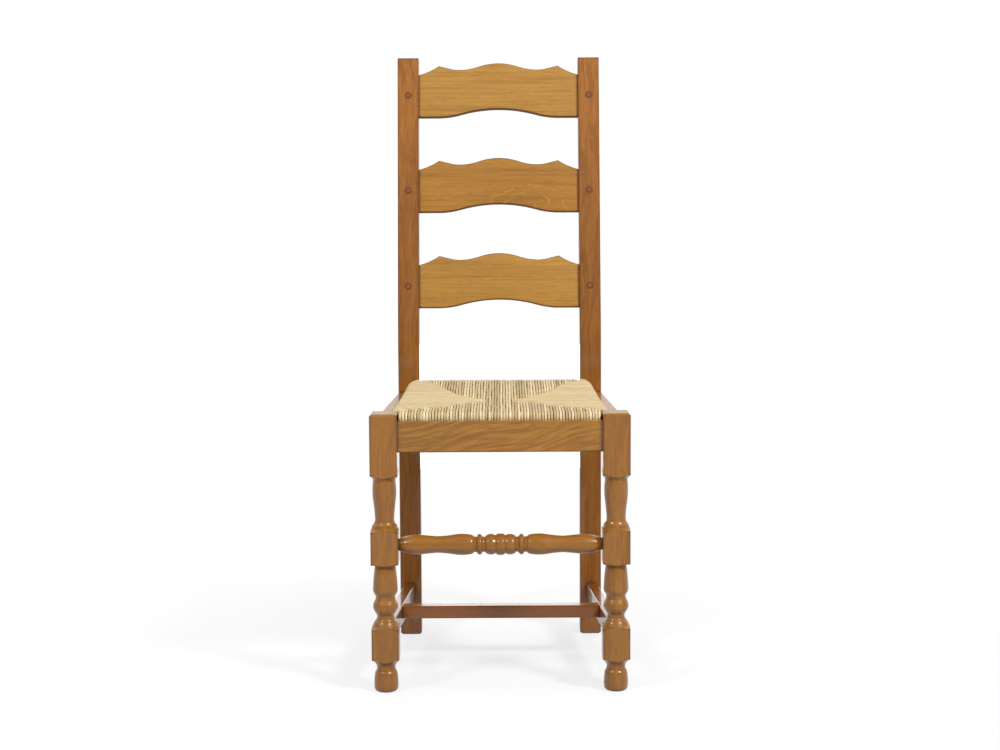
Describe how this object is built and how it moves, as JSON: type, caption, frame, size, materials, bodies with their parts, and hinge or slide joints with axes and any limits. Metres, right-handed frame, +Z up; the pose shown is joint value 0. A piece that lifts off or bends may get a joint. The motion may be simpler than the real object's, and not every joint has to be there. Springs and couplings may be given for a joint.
{
  "type": "ladderback side chair",
  "caption": "Wooden side chair with wavy pegged back slats, square raked rear posts, turned front posts and stretcher, and a drop-in woven rush seat.",
  "frame": {"origin": "centre of the chair's bounding box on the floor plane", "axes": "+Z up; -Y is the front, the way a sitter faces; +X is towards the sitter's left, which is the right of the picture"},
  "size_m": [0.42, 0.4852, 1.049],
  "materials": {
    "stained_wood": "satin honey-brown stain, lacquered",
    "peg_wood": "darker end grain, lacquered",
    "frame_wood": "unfinished pale hardwood",
    "block_wood": "unfinished sawn hardwood",
    "rush": "twisted dry rush, matt to satin",
    "screw_steel": "zinc-plated"
  },
  "bodies": {
    "root": {"rear_post_left": "stained_wood", "rear_post_right": "stained_wood", "front_post_left": "stained_wood", "front_post_right": "stained_wood", "slat_top": "stained_wood", "slat_middle": "stained_wood", "slat_bottom": "stained_wood", "front_rail": "stained_wood", "rear_rail": "stained_wood", "side_rail_left": "stained_wood", "side_rail_right": "stained_wood", "front_stretcher": "stained_wood", "side_stretcher_left": "stained_wood", "side_stretcher_right": "stained_wood", "cross_stretcher": "stained_wood", "slat_pegs": "peg_wood", "seat_frame_front": "frame_wood", "seat_frame_rear": "frame_wood", "seat_frame_side_left": "frame_wood", "seat_frame_side_right": "frame_wood", "corner_block_front_left": "block_wood", "corner_block_front_right": "block_wood", "corner_block_rear_left": "block_wood", "corner_block_rear_right": "block_wood", "rush_seat": "rush", "block_screws": "screw_steel", "seat_screws": "screw_steel"}
  },
  "joints": []
}
